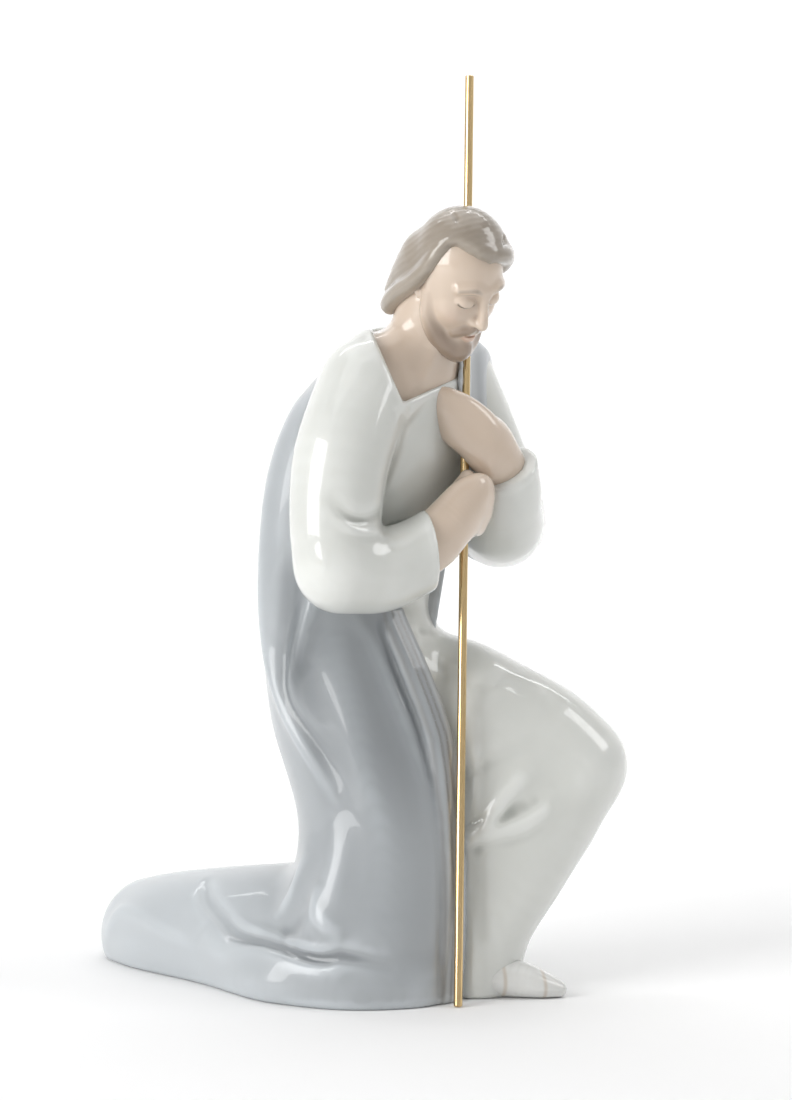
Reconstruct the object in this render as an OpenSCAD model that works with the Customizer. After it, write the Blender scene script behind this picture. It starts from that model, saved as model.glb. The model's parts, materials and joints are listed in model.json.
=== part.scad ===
// Kneeling figurine in glazed porcelain that leans on a loose metal staff.
// The porcelain is slip-cast in thin-walled sections that are luted together.
// A flat bisque slab closes the underside.
// Millimetres, +Z up. The display front faces -Y and the raised knee points to +X.

/* [Porcelain] */
// Wall of the slip-cast sections
wall = 3; // [2.5:0.1:3.5]
// Thickness of the slab that closes the underside
slab = 3; // [2:0.5:4]
// Diameter of the firing vent in the slab
vent_d = 6; // [4:0.5:8]

/* [Staff] */
// Diameter of the staff
staff_d = 2.4; // [2:0.1:2.6]
// Height of the top of the staff above the table
staff_top = 252.6; // [240:0.2:260]
// Radial gap between the staff and the holes through the hands
staff_gap = 0.08; // [0.06:0.01:0.1]

/* [Pose] */
// Turn of the chest from the raised knee towards the display front, in degrees
turn = 33; // [30:1:36]
// Turn of the head from the raised knee towards the display front, in degrees
head_turn = 46; // [40:1:50]
// How far the face is bowed, in degrees
head_bow = 36; // [30:1:40]
// Lean of the head to its right shoulder, in degrees
head_lean = 8; // [4:1:10]

/* [Detail] */
// Points around the large sections
around = 20; // [16:4:28]
// Rings from each given section to the next
steps = 2; // [2:1:3]

/* [Hidden] */

facing = [cos(turn), -sin(turn), 0];
right_side = [-sin(turn), -cos(turn), 0];
up = [0, 0, 1];
back = [0, 1, 0];
waist_z = 98;
far = 300;
fine = 8;

// Glazes and metal
cloak_grey = "#b9c0c4";
tunic_white = "#dfe1dc";
skin_tone = "#dccbbb";
hair_brown = "#a1978b";
bisque = "#ece8e0";
gilt = "#d9a94e";

// Level sections of the body: [x, y, z, half breadth, half depth]
skirt_form = [[6, -11, 0, 32, 27], [7, -10.5, 20, 31, 26.3], [7.3, -7.5, 46, 28.5, 25],
              [3, -1.5, 74, 29.5, 26], [0, 4, 98, 32, 24]];
cloak_form = [[0, 4, 98, 32, 24], [1.3, 4, 120, 33.3, 25.5], [4, 3.2, 144, 33.5, 25],
              [8, 1.5, 162, 32, 21.5], [12, 0, 173, 25, 17], [14, -1.5, 180, 14, 12.5]];
torso_form = [[1.5, 4.5, 90, 23, 18.5], [4.5, 3.5, 105, 22, 18], [6, 2, 125, 24, 18.5],
              [9.5, 0, 145, 27, 19], [12, -1, 160, 28, 17.5], [13.5, -2, 171, 23, 14.5], [14.5, -3, 179, 13, 11]];

// Centre lines of the limbs and folds: [x, y, z, radius across, radius up]
train_line = [[2, -6.5, 12, 26, 24], [-16, 2.5, 10, 25, 22.5], [-34, 13, 8.5, 22.5, 21],
              [-50, 24, 7.5, 19.5, 18.5], [-59.5, 31.5, 6.5, 15.5, 16.5]];
right_upper_arm = [[2, -20, 166, 13, 13], [-5, -30, 149, 13.4, 13.4], [-7.5, -34, 131, 12.6, 12.6],
                   [-6, -34.5, 120.5, 12.3, 12.3]];
right_forearm = [[-5, -34.5, 119.5, 12.3, 12.3], [5, -31.5, 118.3, 11.5, 11.5], [13, -28, 120.5, 10.6, 10.6],
                 [19.5, -25.5, 123.5, 10.2, 10.2]];
left_upper_arm = [[26, 13.5, 167.5, 12.5, 12.5], [32.5, 18.5, 151, 12.8, 12.8], [39, 18.5, 135, 12.3, 12.3],
                  [40, 15, 128, 12.1, 12.1]];
left_forearm = [[40, 13.5, 127.5, 12, 12], [40.3, 6, 128.5, 11.6, 11.6], [40.2, 0.5, 132.5, 10.8, 10.8],
                [41, -3.5, 138, 9.8, 9.8]];
thigh_line = [[12, 7, 78, 18, 18], [24, 4.5, 78.5, 18.5, 18.5], [38, 1.5, 74, 17, 17],
              [52, -1.5, 68.5, 15.2, 15.2], [60.5, -2.5, 61.5, 14.3, 14.3]];
shin_line = [[59.8, -3, 60.5, 12.6, 12.6], [56, -6, 49, 12.8, 12.8], [47.5, -10.5, 35, 11.8, 11.8],
             [39.5, -15.5, 20, 10.5, 10.5], [36, -18, 5, 9, 9]];
drape_line = [[30, -4, 74, 18, 15], [39, -6.5, 56, 21, 14.5], [37, -9, 36, 19, 15],
              [32.5, -12, 16, 14, 14], [31.5, -13.5, 0, 12.5, 13.5]];
foot_line = [[36, -20, 5, 7, 5.5], [45, -22.5, 5.3, 6.3, 5.6], [53.5, -24, 3.2, 3.8, 3.4]];
neck_line = [[13, -1, 164, 16, 13], [15.5, -5, 172, 11.5, 11], [18.5, -9.5, 182, 9.8, 9.8],
             [21.5, -12.5, 191, 9.5, 9.5]];
// Raised folds of the cloak
cloak_folds = [
    [[-9, -16, 164, 2, 4], [-16.5, -11, 148, 2.5, 4.5], [-22, -6, 122, 3, 5], [-23.5, -5, 98, 3, 5],
     [-20.5, -9, 78, 3, 5], [-14, -15, 58, 2.5, 4], [-10, -21, 40, 1.5, 2.5]],
    [[-13, -22, 8, 3, 3], [-22, -9, 18, 3, 3], [-29, 3, 25, 3, 3], [-34, 14, 27.5, 2.5, 2.5]],
    [[-10, -28, 5, 2.5, 2.5], [-30, -9, 10, 2.5, 2.5], [-47, 6, 13, 2.5, 2.5], [-60, 18, 14, 2, 2]]
];
border_line = [[9.5, -18.5, 104, 2.2, 2.2], [15.5, -21, 90, 2.4, 2.4], [22, -23, 72, 2.5, 2.5],
               [24.8, -25, 50, 2.5, 2.5], [25.6, -28, 25, 2.6, 2.6], [24.4, -30.5, 2.2, 2.6, 2.6]];

// Hands: palm first, then four fingers and the thumb
right_palm = [[13, -27.5, 121, 5.5, 5], [19, -25.8, 123, 6, 4.8], [25, -22.8, 130, 8.2, 4.8],
              [29, -20.5, 135.5, 8, 4.4]];
right_fingers = [
    [[29, -23, 141, 2.4, 2.4], [34.5, -21, 142.5, 2.3, 2.3], [36.5, -16.5, 141, 2.1, 2.1],
     [32.5, -13.5, 139.5, 1.9, 1.9]],
    [[30, -22.5, 137.5, 2.5, 2.5], [35.8, -20.5, 138.5, 2.4, 2.4], [37.5, -16, 137, 2.2, 2.2],
     [33, -13, 135.5, 2, 2]],
    [[29.5, -22, 133.5, 2.5, 2.5], [35.2, -20, 134, 2.4, 2.4], [36.8, -15.5, 132.5, 2.2, 2.2],
     [32.5, -12.8, 131, 2, 2]],
    [[28, -21.5, 129.5, 2.3, 2.3], [33, -19.5, 129.5, 2.2, 2.2], [34.5, -15.5, 128.5, 2, 2],
     [31, -13, 127.5, 1.8, 1.8]]
];
right_thumb = [[22, -21, 131, 2.8, 2.8], [26, -18, 137, 2.5, 2.5], [30, -15.5, 142.5, 2.1, 2.1]];
left_palm = [[42, -3, 141.5, 5.5, 5], [41.5, -7, 145, 6, 4.8], [36, -12, 151.5, 8, 4.6],
             [31, -14, 155.5, 7.8, 4.2]];
left_fingers = [
    [[32, -13.8, 161, 2.4, 2.4], [26, -14.8, 164.5, 2.2, 2.2], [21.5, -14, 166, 1.8, 1.8]],
    [[30.5, -14, 157.5, 2.5, 2.5], [25, -15, 161.5, 2.3, 2.3], [20.5, -14, 163.5, 1.9, 1.9]],
    [[29.5, -14, 154, 2.4, 2.4], [25, -14.5, 157.5, 2.3, 2.3], [21.3, -13.5, 159.8, 1.9, 1.9]],
    [[30, -13.8, 150.5, 2.2, 2.2], [26, -14, 153, 2.1, 2.1], [23, -13, 155, 1.8, 1.8]]
];
left_thumb = [[38, -9, 155, 2.8, 2.8], [33.5, -6.5, 159, 2.5, 2.5], [29, -5.5, 162.5, 2, 2]];

// Head, in its own frame: +X is the way the face looks, +Z the crown; [x, y, z, half breadth, half depth]
head_at = [26.4, -16.8, 197];
skull_form = [[7.8, 0, -18, 3.6, 3.6], [6.4, 0, -14.5, 7, 7], [4.6, 0, -9, 9.2, 10],
              [2.4, 0, -3, 10.6, 12.4], [0.6, 0, 3, 11.4, 14.6], [-0.6, 0, 8, 11.5, 15.4],
              [-1.2, 0, 13, 9.4, 13], [-1.4, 0, 17, 4.6, 6.6]];
hair_form = [[-5.5, 0, -11, 9.4, 8.5], [-4.5, 0, -5, 11.6, 11.6], [-2.8, 0, 2, 12.2, 14.2],
             [-1.6, 0, 8, 12.6, 16.4], [-1.6, 0, 13, 10.8, 14.8], [-1.4, 0, 17.5, 6.4, 9],
             [-1.4, 0, 19, 2.4, 3.6]];
nose_line = [[14, 0, 3.5, 1.1, 1.3], [15.6, 0, -0.5, 1.3, 1.5], [16.2, 0, -3.4, 2, 1.7]];
brow_line = [[12.6, 1.6, 5, 1, 1], [12.6, 5, 5.6, 1, 1], [10, 8.2, 4.6, 0.9, 0.9]];
lid_line = [[13, 2.2, 1.6, 0.9, 1.1], [12.4, 4.6, 2.2, 1.1, 1.3], [10.6, 6.6, 1.4, 0.9, 1.1]];
lip_line = [[13.2, -2.9, -8.2, 0.7, 0.8], [14.4, 0, -7.8, 1, 1.1], [13.2, 2.9, -8.2, 0.7, 0.8]];
beard_line = [[3, -9.2, -6, 1.6, 1.8], [8, -7, -12, 2, 2.2], [11.2, 0, -16, 2.6, 2.6],
              [8, 7, -12, 2, 2.2], [3, 9.2, -6, 1.6, 1.8]];
moustache_line = [[12.4, 4, -7.4, 0.8, 0.9], [14.2, 1.4, -6.1, 0.9, 1], [14.2, -1.4, -6.1, 0.9, 1],
                  [12.4, -4, -7.4, 0.8, 0.9]];
lock_line = [[11, 3, 15, 1.6, 2], [9, 9.4, 9, 1.8, 2.4], [2, 11.4, 1, 1.8, 2.6], [-5, 10.4, -8, 2, 2.8],
             [-9.5, 8, -14, 1.8, 2.4]];
lock_spread = [0, 5];

// The axis of the staff, from the table up
staff_dir = unit([3.6, 45, 252.6]);
staff_rise = staff_d / 2 * norm([staff_dir.x, staff_dir.y]);
staff_foot = [27.3, -37, staff_rise];
staff_len = (staff_top - 2 * staff_rise) / staff_dir.z;

function at(list, i) = list[max(0, min(len(list) - 1, i))];
function unit(v) = v / norm(v);
function place(s) = [s.x, s.y, s.z];
function mirrored(line) = [for (s = line) [s.x, -s.y, s.z, s[3], s[4]]];
function shifted(line, x) = [for (s = line) [s.x - x, s.y, s.z, s[3], s[4]]];

// Catmull-Rom value at share t of the way from q to r
function blend(p, q, r, s, t) =
    0.5 * (2 * q + (r - p) * t + (2 * p - 5 * q + 4 * r - s) * t^2 + (3 * q - p - 3 * r + s) * t^3);
function smooth(list) = [
    for (i = [0:len(list) - 2], k = [0:steps - 1])
        blend(at(list, i - 1), list[i], list[i + 1], at(list, i + 2), k / steps),
    list[len(list) - 1]
];
function oval(c, u, v, ru, rv, n) =
    [for (k = [0:n - 1]) c + u * ru * cos(360 * k / n) + v * rv * sin(360 * k / n)];
function middle(ring) = [for (k = [0:2]) [for (p = ring) p[k]] * [for (p = ring) 1] / len(ring)];

// A closed skin through rings of points
module skin(rings) {
    n = len(rings[0]);
    m = len(rings);
    sides = [
        for (j = [0:m - 2], i = [0:n - 1])
            let (a = j * n + i, b = j * n + (i + 1) % n)
            [a, a + n, b + n, b]
    ];
    first = [for (i = [0:n - 1]) [n * m, i, (i + 1) % n]];
    last = [for (i = [0:n - 1]) [n * m + 1, (m - 1) * n + (i + 1) % n, (m - 1) * n + i]];
    points = [for (r = rings) each r, middle(rings[0]), middle(rings[m - 1])];
    polyhedron(points, [each sides, each first, each last]);
}

// A body form of level ovals that face along ahead
module body(sections, inset = 0, side = right_side, ahead = facing, n = around)
    skin([for (s = smooth(sections)) oval(place(s), side, ahead, s[3] - inset, s[4] - inset, n)]);

// A limb or fold along a centre line; tips says how round its two ends are
module limb(line, inset = 0, side = up, n = around, tips = [1, 1]) {
    path = smooth(line);
    end = len(path) - 1;
    dirs = [for (i = [0:end]) unit(place(at(path, i + 1)) - place(at(path, i - 1)))];
    // The ring at a point of the path, pushed out by c and shrunk by s towards a rounded end
    function ring(i, c, s) =
        let (p = path[i], d = dirs[i], u = unit(cross(d, side)), v = cross(d, u))
        oval(place(p) + d * c * (min(p[3], p[4]) - inset), u, v, s * (p[3] - inset), s * (p[4] - inset), n);
    skin([
        for (a = [75, 40]) ring(0, -sin(a) * tips[0], cos(a)),
        for (i = [0:end]) ring(i, 0, 1),
        for (a = [40, 75]) ring(end, sin(a) * tips[1], cos(a))
    ]);
}

// Everything inside becomes one sculpted skin
module sculpted() resize([0, 0, 0]) children();
module above(z) translate([-far / 2, -far / 2, z]) cube(far);
module below(z) translate([-far / 2, -far / 2, z - far]) cube(far);

module staff_path(radius, length)
    translate(staff_foot)
        rotate([0, acos(staff_dir.z), atan2(staff_dir.y, staff_dir.x)])
            cylinder(r = radius, h = length, $fn = 48);
module staff_bore() translate(-20 * staff_dir) staff_path(staff_d / 2 + staff_gap, staff_len + 40);

module in_head_frame() translate(head_at) rotate([head_lean, head_bow, -head_turn]) children();
module both_sides() for (s = [1, -1]) scale([1, s, 1]) children();

// Outer forms and the hollows inside them
module raised_leg_outer() {
    limb(thigh_line);
    limb(shin_line, side = back);
    limb(drape_line, side = back);
}
module raised_leg_hollow() {
    limb(thigh_line, wall);
    limb(shin_line, wall, back);
    limb(drape_line, wall, back);
}
module wrist(palm, thumb) {
    limb(palm, side = back, n = 16, tips = [0.6, 0.6]);
    limb(thumb, side = back, n = fine);
}
module hand(palm, fingers, thumb) {
    wrist(palm, thumb);
    for (f = fingers) limb(f, side = back, n = fine);
}
module right_hand_form() hand(right_palm, right_fingers, right_thumb);
module left_hand_form() hand(left_palm, left_fingers, left_thumb);
module arm(upper_line, lower_line, inset = 0) {
    limb(upper_line, inset, facing);
    limb(lower_line, inset, facing, tips = [1, 0.3]);
}
module right_sleeve_outer() arm(right_upper_arm, right_forearm);
module left_sleeve_outer() arm(left_upper_arm, left_forearm);
module sleeve_hollows() {
    arm(right_upper_arm, right_forearm, wall);
    arm(left_upper_arm, left_forearm, wall);
}

// Head and hair, in the frame of the head
module skull() body(skull_form, side = -back, ahead = [1, 0, 0]);
module face() {
    skull();
    limb(nose_line, side = back, n = fine);
    both_sides() limb(brow_line, n = fine);
    both_sides() limb(lid_line, n = fine);
    limb(lip_line, n = fine);
    limb(beard_line, n = fine);
    limb(moustache_line, n = fine);
}

module cloak_skirt() color(cloak_grey) sculpted() difference() {
    union() {
        body(skirt_form);
        intersection() {
            limb(cloak_folds[0], side = facing, n = fine);
            below(waist_z);
        }
    }
    translate([0, 0, -1]) body(skirt_form, wall);
    translate([0, 0, 1]) body(skirt_form, wall);
    limb(train_line, wall);
    raised_leg_outer();
    cloak_border_form();
}

module cloak_train() color(cloak_grey) sculpted() difference() {
    union() {
        limb(train_line);
        limb(cloak_folds[1], n = fine);
        limb(cloak_folds[2], n = fine);
    }
    limb(train_line, wall);
    body(skirt_form);
    below(0);
}

// The wedge in which the tunic shows between the two front edges of the cloak
module front_opening() intersection() {
    translate([8, -20, waist_z - 1]) rotate(-10) translate([0, -far / 2, 0]) cube(far);
    translate([20, 20, waist_z - 1]) rotate(-50) translate([0, -far / 2, 0]) cube(far);
}

module cloak_back() color(cloak_grey) sculpted() difference() {
    union() {
        body(cloak_form);
        intersection() {
            limb(cloak_folds[0], side = facing, n = fine);
            above(waist_z);
        }
    }
    body(torso_form);
    limb(neck_line, side = facing);
    right_sleeve_outer();
    left_sleeve_outer();
    limb(thigh_line);
    front_opening();
    cloak_border_form();
}

module cloak_border_form() {
    for (s = [-2.4, 0, 2.4]) translate(s * [0.75, 0.6, 0]) limb(border_line, side = facing, n = fine);
}
module cloak_border() color(cloak_grey) sculpted() difference() {
    cloak_border_form();
    raised_leg_outer();
    below(0);
}

module torso() color(tunic_white) sculpted() difference() {
    body(torso_form);
    body(torso_form, wall);
    translate([0, 0, -3]) body(torso_form, wall);
    limb(neck_line, side = facing);
    sleeve_hollows();
    body(skirt_form);
    limb(thigh_line);
    left_hand_form();
}

module neck() color(skin_tone) sculpted() difference() {
    limb(neck_line, side = facing);
    in_head_frame() skull();
    limb(neck_line, 4.5, facing);
}

module head() color(skin_tone) sculpted() in_head_frame() face();

module hair() color(hair_brown) sculpted() difference() {
    in_head_frame() {
        body(hair_form, side = -back, ahead = [1, 0, 0]);
        for (x = lock_spread) {
            limb(shifted(lock_line, x), n = fine);
            limb(shifted(mirrored(lock_line), x), n = fine);
        }
    }
    in_head_frame() face();
    limb(neck_line, side = facing);
    staff_path(staff_d / 2 + 0.4, staff_len);
}

module right_sleeve() color(tunic_white) sculpted() difference() {
    right_sleeve_outer();
    sleeve_hollows();
    body(torso_form);
    wrist(right_palm, right_thumb);
}

module left_sleeve() color(tunic_white) sculpted() difference() {
    left_sleeve_outer();
    sleeve_hollows();
    body(torso_form);
    wrist(left_palm, left_thumb);
}

module right_hand() color(skin_tone) difference() {
    sculpted() right_hand_form();
    staff_bore();
}

module left_hand() color(skin_tone) difference() {
    sculpted() left_hand_form();
    staff_bore();
}

module tunic_thigh() color(tunic_white) sculpted() difference() {
    limb(thigh_line);
    limb(thigh_line, wall);
    body(skirt_form, wall);
    limb(shin_line, wall, back);
    limb(drape_line, wall, back);
}

module tunic_lower() color(tunic_white) sculpted() difference() {
    union() {
        limb(shin_line, side = back);
        limb(drape_line, side = back);
    }
    limb(shin_line, wall, back);
    limb(drape_line, wall, back);
    limb(thigh_line);
    body(skirt_form, wall);
    below(0);
}

module left_foot() color(tunic_white) sculpted() difference() {
    limb(foot_line);
    limb(shin_line, side = back);
    limb(drape_line, side = back);
    below(0);
}

module base_slab() color(bisque) difference() {
    sculpted() intersection() {
        union() {
            body(skirt_form, wall);
            limb(train_line, wall);
            raised_leg_hollow();
        }
        translate([-far / 2, -far / 2, 0]) cube([far, far, slab]);
    }
    translate([-4, -6, -1]) cylinder(d = vent_d, h = slab + 2, $fn = 48);
}

module staff() color(gilt) staff_path(staff_d / 2, staff_len);

cloak_skirt();
cloak_train();
cloak_back();
cloak_border();
torso();
neck();
head();
hair();
right_sleeve();
left_sleeve();
right_hand();
left_hand();
tunic_thigh();
tunic_lower();
left_foot();
base_slab();
staff();
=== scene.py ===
"""A kneeling porcelain figurine with a loose brass staff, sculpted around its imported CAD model.

Every glazed section is a distance field in millimetres. It is meshed on a grid, settled onto the
surface and scaled to metres. The staff is a turned rod.
"""
import json
import math
from concurrent.futures import ThreadPoolExecutor

import bpy
import numpy as np
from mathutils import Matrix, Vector


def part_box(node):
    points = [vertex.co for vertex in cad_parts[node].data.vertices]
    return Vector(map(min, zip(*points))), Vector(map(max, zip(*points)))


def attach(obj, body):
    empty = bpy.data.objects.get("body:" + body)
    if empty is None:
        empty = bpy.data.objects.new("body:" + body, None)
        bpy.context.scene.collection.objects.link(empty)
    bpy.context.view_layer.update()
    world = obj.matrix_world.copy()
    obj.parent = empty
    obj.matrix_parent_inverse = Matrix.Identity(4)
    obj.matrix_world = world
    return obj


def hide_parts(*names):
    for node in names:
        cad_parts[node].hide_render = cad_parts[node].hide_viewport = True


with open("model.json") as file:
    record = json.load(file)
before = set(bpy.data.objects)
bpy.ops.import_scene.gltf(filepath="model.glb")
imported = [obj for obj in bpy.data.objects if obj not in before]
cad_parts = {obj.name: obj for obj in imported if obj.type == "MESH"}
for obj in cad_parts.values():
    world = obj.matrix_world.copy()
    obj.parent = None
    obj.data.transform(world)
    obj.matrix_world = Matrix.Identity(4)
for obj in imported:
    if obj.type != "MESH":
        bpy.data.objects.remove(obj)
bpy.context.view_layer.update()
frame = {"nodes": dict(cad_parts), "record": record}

MM = 0.001
UP = np.array([0.0, 0.0, 1.0])
BACK = np.array([0.0, 1.0, 0.0])
TURN = math.radians(33)
FACING = np.array([math.cos(TURN), -math.sin(TURN), 0.0])
RIGHT_SIDE = np.array([-math.sin(TURN), -math.cos(TURN), 0.0])
FAR = 1e3


# ---------------------------------------------------------------- fields

def single(values):
    return np.asarray(values, np.float32)


def unit(v):
    v = np.asarray(v, float)
    return v / np.linalg.norm(v)


def dot(a, b):
    """Row by row."""
    return np.einsum("ij,ij->i", a, b)


def join(a, b, soft):
    """Union of two fields with a soft seam."""
    h = np.maximum(soft - np.abs(a - b), 0.0) / soft
    return np.minimum(a, b) - h * h * soft * 0.25


def joined(fields, soft):
    """Union of several fields, one after the other."""
    d = fields[0]
    for other in fields[1:]:
        d = join(d, other, soft)
    return d


def cut(a, b, soft):
    """Field a without field b, with a soft edge."""
    return -join(-a, b, soft)


def common(a, b, soft):
    """Where both fields are, with a soft edge."""
    return -join(-a, -b, soft)


def bump(offset, width):
    return np.exp(-(offset / width)**2)


def smooth_line(rows, steps=5):
    """Catmull-Rom line through rows of numbers."""
    p = np.array(rows, float)
    last = len(p) - 1
    out = []
    for i in range(last):
        a, b, c, d = p[max(i - 1, 0)], p[i], p[i + 1], p[min(i + 2, last)]
        for t in np.arange(steps) / steps:
            out.append(0.5 * (2 * b + (c - a) * t + (2 * a - 5 * b + 4 * c - d) * t**2
                              + (3 * b - a - 3 * c + d) * t**3))
    out.append(p[last])
    return np.array(out)


def levels(rows):
    """Rows of numbers smoothed and put in order of height."""
    table = smooth_line(rows, 8)
    return table[np.argsort(table[:, 0])]


def column(p, table):
    """Level ovals, and the bearing round them; rows as in CLOAK and TORSO."""
    z = np.clip(p[:, 2], table[0, 0], table[-1, 0])
    x, y, b, d = (single(np.interp(z, table[:, 0], table[:, i])) for i in (1, 2, 3, 4))
    x = p[:, 0] - x
    y = p[:, 1] - y
    u = (x * RIGHT_SIDE[0] + y * RIGHT_SIDE[1]) / b
    v = (x * FACING[0] + y * FACING[1]) / d
    q = np.sqrt(u * u + v * v)
    slope = np.sqrt((u / b)**2 + (v / d)**2)
    return q * (q - 1) / np.maximum(slope, 1e-4), np.degrees(np.arctan2(v, u))


def column_fold(z, bearing, rows):
    """A fold that runs up a column: rows of height, bearing, angular width and rise."""
    share = np.interp(z, rows[:, 0], rows[:, 3], left=0, right=0)
    across = (bearing - np.interp(z, rows[:, 0], rows[:, 1]) + 180) % 360 - 180
    return share * bump(across, np.interp(z, rows[:, 0], rows[:, 2]))


def segments(line):
    """The straight parts of a line: both end rows, the start, the direction and the length."""
    for a, b in zip(line[:-1], line[1:]):
        along = b[:3] - a[:3]
        length = float(np.linalg.norm(along))
        if length > 1e-6:
            yield a, b, single(a[:3]), single(along / length), length


def beside(q, line):
    """For each straight part of a line: both end rows, the share along it and the way off it."""
    for a, b, start, along, length in segments(line):
        o = q - start
        t = np.clip((o @ along) / length, 0, 1)
        yield a, b, t, o - (t * length)[:, None] * along


def in_reach(p, line, reach):
    """The points near enough to a line for it to matter."""
    low = line[:, :3].min(0) - reach
    high = line[:, :3].max(0) + reach
    return np.all((p > low) & (p < high), axis=1)


def tube(p, rows, side=UP, steps=5, reach=9.0):
    """A limb; rows are x, y, z, radius across and radius along side, or one radius for both."""
    line = smooth_line([[*row, row[3]] if len(row) == 4 else row for row in rows], steps)
    widest = float(line[:, 3:5].max())
    out = np.full(len(p), FAR, np.float32)
    near = in_reach(p, line, widest + reach)
    q = p[near]
    if not len(q):
        return out
    best = np.full(len(q), FAR, np.float32)
    for a, b, start, along, length in segments(line):
        u = single(unit(np.cross(along, side)))
        v = np.cross(along, u)
        o = q - start
        s = o @ along
        t = np.clip(s / length, 0, 1)
        s = s - t * length
        ru = a[3] + t * (b[3] - a[3])
        rv = a[4] + t * (b[4] - a[4])
        rs = np.minimum(ru, rv)
        ou, ov, os = (o @ u) / ru, (o @ v) / rv, s / rs
        k = np.sqrt(ou * ou + ov * ov + os * os)
        slope = np.sqrt((ou / ru)**2 + (ov / rv)**2 + (os / rs)**2)
        d = k * (k - 1) / np.maximum(slope, 1e-4)
        d = np.where(k < 0.2, -rs, d)
        best = np.minimum(best, d)
    out[near] = best
    return out


def rod(p, rows, steps=4, reach=6.0):
    """A round limb; rows are x, y, z and radius."""
    line = smooth_line(rows, steps)
    out = np.full(len(p), FAR, np.float32)
    near = in_reach(p, line, float(line[:, 3].max()) + reach)
    q = p[near]
    best = np.full(len(q), FAR, np.float32)
    for a, b, t, o in beside(q, line):
        best = np.minimum(best, np.linalg.norm(o, axis=1) - (a[3] + t * (b[3] - a[3])))
    out[near] = best
    return out


def ball(p, centre, radii):
    """An ellipsoid, or a sphere."""
    r = np.broadcast_to(single(radii), 3)
    q = (p - single(centre)) / r
    k = np.linalg.norm(q, axis=1)
    slope = np.linalg.norm(q / r, axis=1)
    return np.where(k < 0.2, -float(r.min()), k * (k - 1) / np.maximum(slope, 1e-4))


def fold(p, line):
    """Rise of a soft ridge or groove; line rows are x, y, z, width and rise."""
    out = np.zeros(len(p), np.float32)
    reach = 2.2 * float(line[:, 3].max())
    near = in_reach(p, line, reach)
    q = p[near]
    best = np.full(len(q), FAR, np.float32)
    rise = np.zeros(len(q), np.float32)
    for a, b, t, o in beside(q, line):
        d = dot(o, o) / (a[3] + t * (b[3] - a[3]))**2
        closer = d < best
        best[closer] = d[closer]
        rise[closer] = (a[4] + t * (b[4] - a[4]))[closer]
    out[near] = rise * np.exp(-best)
    return out


def half_space(p, point, normal):
    """Everything behind the plane through point; normal points out of it."""
    return (p - single(point)) @ single(unit(normal))


def gradient(field, p, step=0.1):
    """The slope of the field at each point, and its value there."""
    corners = np.array([[1, -1, -1], [-1, -1, 1], [-1, 1, -1], [1, 1, 1]], np.float32)
    g = np.zeros_like(p)
    mean = 0
    for c in corners:
        f = field(p + step * c)
        g += f[:, None] * c
        mean = mean + f
    return g / (4 * step), mean / 4


def on_surface(field, rows):
    """A fold's line, moved onto the surface that it marks."""
    line = single(smooth_line(rows))
    for _ in range(6):
        g, f = gradient(field, line[:, :3])
        line[:, :3] -= (f / np.maximum(dot(g, g), 0.2))[:, None] * g
    return line


def in_parts(work, points, size=60000):
    """Work done on the points in parts, side by side."""
    points = single(points)
    parts = [points[i:i + size] for i in range(0, len(points), size)]
    with ThreadPoolExecutor(4) as pool:
        return np.concatenate(list(pool.map(work, parts)))


def grid_points(low, pitch, count):
    axes = [low[i] + pitch * np.arange(count[i]) for i in range(3)]
    return np.stack(np.meshgrid(*axes, indexing="ij"), -1).reshape(-1, 3)


class Smoothed:
    """A field kept on a coarse grid and read back through cubic splines, which rounds its kinks."""

    def __init__(self, field, low, high, pitch):
        self.low = single(low) - 2 * pitch
        self.pitch = pitch
        self.count = np.ceil((np.array(high) - self.low) / pitch).astype(int) + 4
        points = grid_points(self.low, pitch, self.count)
        self.values = single(np.minimum(in_parts(field, points), 40))

    def __call__(self, p):
        g = (p - self.low) / self.pitch
        cell = np.clip(np.floor(g).astype(np.int32), 1, self.count - 3)
        f = single(np.clip(g - cell, 0, 1))
        weights = ((1 - f)**3 / 6, (3 * f**3 - 6 * f**2 + 4) / 6,
                   (-3 * f**3 + 3 * f**2 + 3 * f + 1) / 6, f**3 / 6)
        stride = (int(self.count[1] * self.count[2]), int(self.count[2]), 1)
        first = (cell[:, 0] - 1) * stride[0] + (cell[:, 1] - 1) * stride[1] + cell[:, 2] - 1
        total = np.zeros(len(p), np.float32)
        for i in range(4):
            for j in range(4):
                share = weights[i][:, 0] * weights[j][:, 1]
                for k in range(4):
                    place = first + i * stride[0] + j * stride[1] + k
                    total += share * weights[k][:, 2] * self.values[place]
        return total


# ---------------------------------------------------------------- meshing

CORNERS = np.array([[i & 1, (i >> 1) & 1, i >> 2] for i in range(8)])


def sample(field, low, high, pitch, coarse=4):
    """The field on a grid, worked out finely only near the surface."""
    low = np.array(low, float)
    wide = pitch * coarse
    n = np.ceil((np.array(high, float) - low) / wide).astype(int)
    rough = in_parts(field, grid_points(low, wide, n + 1)).reshape(n + 1)
    near = np.abs(rough) < wide * 1.6
    mask = np.zeros(n, bool)
    for x, y, z in CORNERS:
        mask |= near[x:x + n[0], y:y + n[1], z:z + n[2]]
    fine = single(np.where(rough[:-1, :-1, :-1] < 0, -FAR, FAR))
    for axis in range(3):
        fine = np.repeat(fine, coarse, axis)
        mask = np.repeat(mask, coarse, axis)
    fine = np.pad(fine, ((0, 1),) * 3, mode="edge")
    mask = np.pad(mask, ((0, 1),) * 3)
    for axis in range(3):
        mask |= np.roll(mask, 1, axis)
    index = np.argwhere(mask)
    fine[mask] = in_parts(field, low + pitch * index)
    return fine, low


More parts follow.
